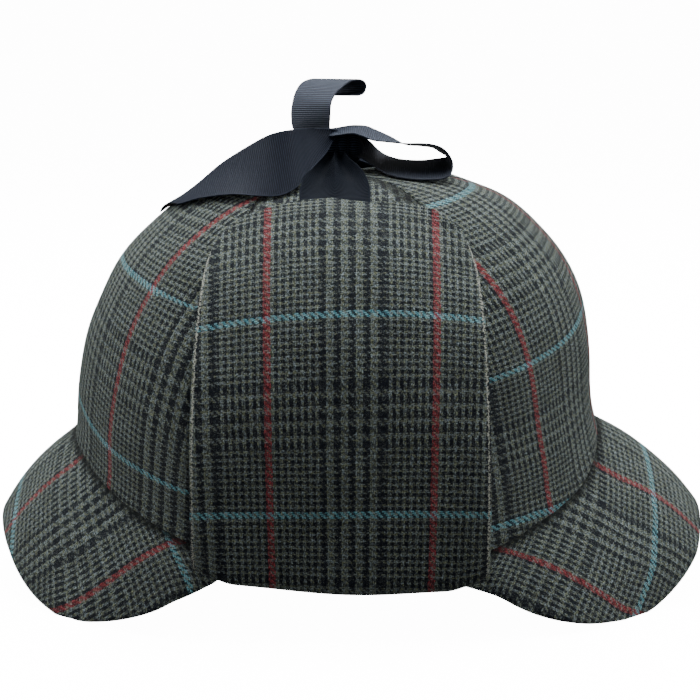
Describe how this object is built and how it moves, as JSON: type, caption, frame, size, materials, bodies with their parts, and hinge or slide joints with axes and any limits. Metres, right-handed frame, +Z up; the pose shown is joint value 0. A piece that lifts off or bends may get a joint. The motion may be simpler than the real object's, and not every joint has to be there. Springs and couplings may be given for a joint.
{
  "type": "deerstalker hat",
  "caption": "Tweed hat with a six-gore crown, a visor at front and back, and two ear flaps folded up and tied over the crown with a ribbon bow.",
  "frame": {"origin": "middle of the hat in plan, on the surface that it rests on", "axes": "+X to the front visor, +Y to the wearer's left, +Z up"},
  "size_m": [0.2831, 0.1764, 0.1984],
  "materials": {
    "tweed": "woven wool check",
    "grosgrain": "ribbed black ribbon"
  },
  "bodies": {
    "root": {"crown_panel_front_left": "tweed", "crown_panel_side_left": "tweed", "crown_panel_back_left": "tweed", "crown_panel_front_right": "tweed", "crown_panel_side_right": "tweed", "crown_panel_back_right": "tweed", "visor_front": "tweed", "visor_back": "tweed", "ear_flap_left": "tweed", "ear_flap_right": "tweed", "ribbon_left": "grosgrain", "ribbon_right": "grosgrain"}
  },
  "joints": []
}
